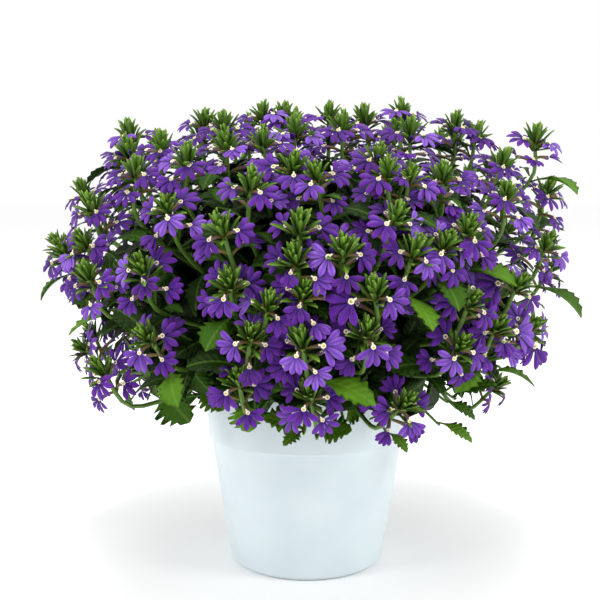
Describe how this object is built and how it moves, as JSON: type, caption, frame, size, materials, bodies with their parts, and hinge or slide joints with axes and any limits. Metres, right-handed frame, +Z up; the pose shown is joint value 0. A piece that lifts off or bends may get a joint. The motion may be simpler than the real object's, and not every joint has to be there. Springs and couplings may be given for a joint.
{
  "type": "potted fan flower",
  "caption": "Fan flower plant in a white plastic nursery pot, a wide mound of leafy shoots with violet fan-shaped blooms below green tufts.",
  "frame": {"origin": "middle of the pot's foot, on the ground", "axes": "-Z out of the pot's foot towards the ground, +Z up, -Y towards the viewer"},
  "size_m": [0.341, 0.3457, 0.303],
  "materials": {
    "white_plastic": "satin white polypropylene with a faint blue-green tint",
    "peat": "dark crumbly peat, dry and matte",
    "green_leaf": "soft green leaves, bracts and stems, slightly satin",
    "violet_petal": "soft violet petals, matte velvet"
  },
  "bodies": {
    "root": {"pot": "white_plastic", "soil": "peat", "cutting_1": "green_leaf", "cutting_2": "green_leaf", "cutting_3": "green_leaf", "blooms_01": "violet_petal", "blooms_02": "violet_petal", "blooms_03": "violet_petal", "blooms_04": "violet_petal", "blooms_05": "violet_petal", "blooms_06": "violet_petal", "blooms_07": "violet_petal", "blooms_08": "violet_petal", "blooms_09": "violet_petal", "blooms_10": "violet_petal", "blooms_11": "violet_petal", "blooms_12": "violet_petal", "blooms_13": "violet_petal", "blooms_14": "violet_petal", "blooms_15": "violet_petal", "blooms_16": "violet_petal", "blooms_17": "violet_petal", "blooms_18": "violet_petal", "blooms_19": "violet_petal", "blooms_20": "violet_petal", "blooms_21": "violet_petal", "blooms_22": "violet_petal", "blooms_23": "violet_petal", "blooms_24": "violet_petal", "blooms_25": "violet_petal", "blooms_26": "violet_petal", "blooms_27": "violet_petal", "blooms_28": "violet_petal", "blooms_29": "violet_petal", "blooms_30": "violet_petal", "blooms_31": "violet_petal", "blooms_32": "violet_petal", "blooms_33": "violet_petal", "blooms_34": "violet_petal", "blooms_35": "violet_petal", "blooms_36": "violet_petal", "blooms_37": "violet_petal", "blooms_38": "violet_petal", "blooms_39": "violet_petal", "blooms_40": "violet_petal", "blooms_41": "violet_petal", "blooms_42": "violet_petal", "blooms_43": "violet_petal", "blooms_44": "violet_petal", "blooms_45": "violet_petal", "blooms_46": "violet_petal", "blooms_47": "violet_petal", "blooms_48": "violet_petal", "blooms_49": "violet_petal", "blooms_50": "violet_petal", "blooms_51": "violet_petal", "blooms_52": "violet_petal", "blooms_53": "violet_petal", "blooms_54": "violet_petal", "blooms_55": "violet_petal"}
  },
  "joints": []
}
